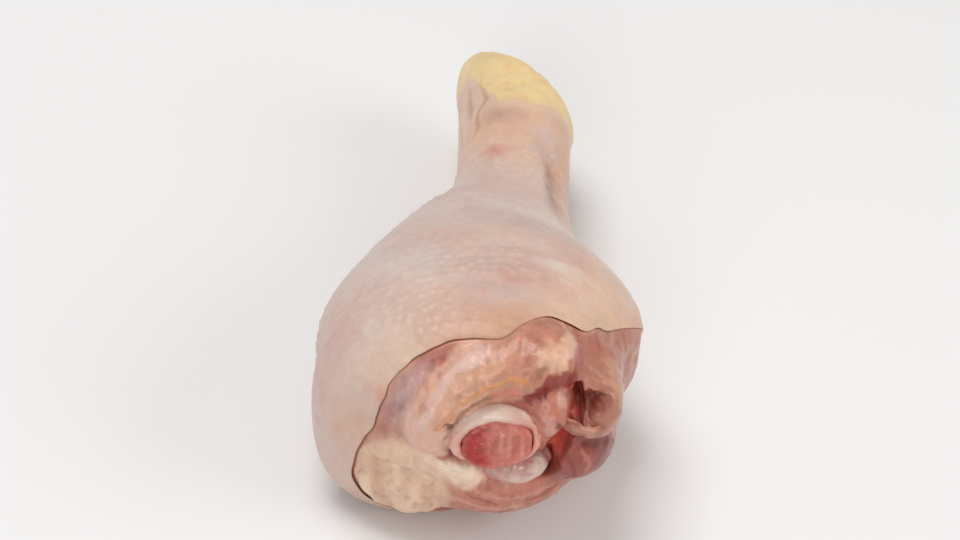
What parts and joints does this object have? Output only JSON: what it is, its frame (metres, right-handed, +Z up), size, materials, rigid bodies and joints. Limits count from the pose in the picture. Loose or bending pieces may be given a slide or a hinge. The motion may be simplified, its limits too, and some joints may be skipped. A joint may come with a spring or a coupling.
{
  "type": "raw chicken drumstick",
  "caption": "Raw chicken drumstick on its side: pear-shaped leg in pale skin, cut knee end with muscles, fat, tendon and bone head, slim shank and hock.",
  "frame": {"origin": "centre of the bounding box in X and Y, on the surface that the leg rests on", "axes": "+Y along the bone from the cut knee end to the hock, +Z up, +X to the right seen from the knee end"},
  "size_m": [0.0574, 0.1262, 0.0453],
  "materials": {
    "skin": "moist pale pink-cream raw skin with fine goose bumps, yellow at the hock",
    "meat": "wet raw muscle, mauve to deep red, with pale membrane",
    "bone": "moist bluish-white cartilage over bone",
    "marrow": "wet grainy red marrow",
    "fat": "soft cream-yellow fat, satin",
    "tendon": "glossy cream-pink tendon"
  },
  "bodies": {
    "root": {"skin": "skin", "meat": "meat", "bone": "bone", "marrow": "marrow", "fat_pad": "fat", "tendon": "tendon"}
  },
  "joints": []
}
